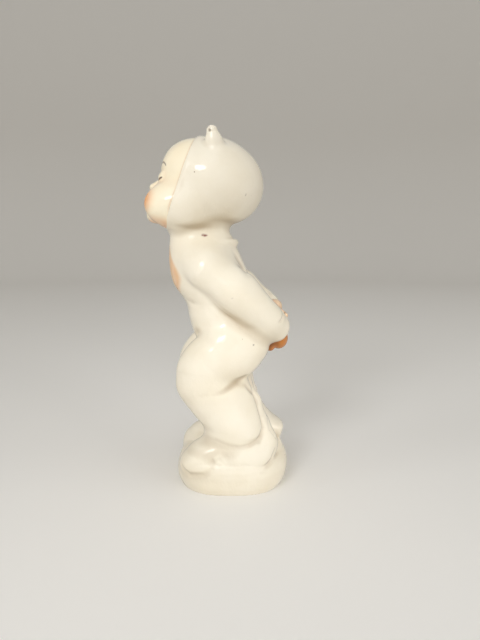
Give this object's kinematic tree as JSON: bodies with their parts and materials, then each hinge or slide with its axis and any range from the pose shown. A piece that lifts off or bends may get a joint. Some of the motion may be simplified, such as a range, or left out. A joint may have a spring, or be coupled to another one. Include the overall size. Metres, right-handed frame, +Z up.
{
  "type": "chalkware figure",
  "caption": "Standing chalkware child in a hooded animal suit with small ears and a tail, head tipped back and hands held behind the back, on a low mound base.",
  "frame": {"origin": "middle of the flat underside of the base", "axes": "+Z up, the figure faces -Y, its left side is +X"},
  "size_m": [0.075, 0.0974, 0.2398],
  "materials": {
    "cream_glaze": "glossy cream lacquer over plaster",
    "face_paint": "airbrushed peach under clear lacquer",
    "hand_paint": "airbrushed orange-brown under clear lacquer"
  },
  "bodies": {
    "root": {"base": "cream_glaze", "left_paw": "cream_glaze", "right_paw": "cream_glaze", "left_lower_leg": "cream_glaze", "right_lower_leg": "cream_glaze", "left_thigh": "cream_glaze", "right_thigh": "cream_glaze", "tail": "cream_glaze", "torso": "cream_glaze", "collar": "cream_glaze", "left_upper_arm": "cream_glaze", "right_upper_arm": "cream_glaze", "left_forearm": "cream_glaze", "right_forearm": "cream_glaze", "hood": "cream_glaze", "left_ear": "cream_glaze", "right_ear": "cream_glaze", "head": "face_paint", "left_hand": "hand_paint", "right_hand": "hand_paint"}
  },
  "joints": []
}
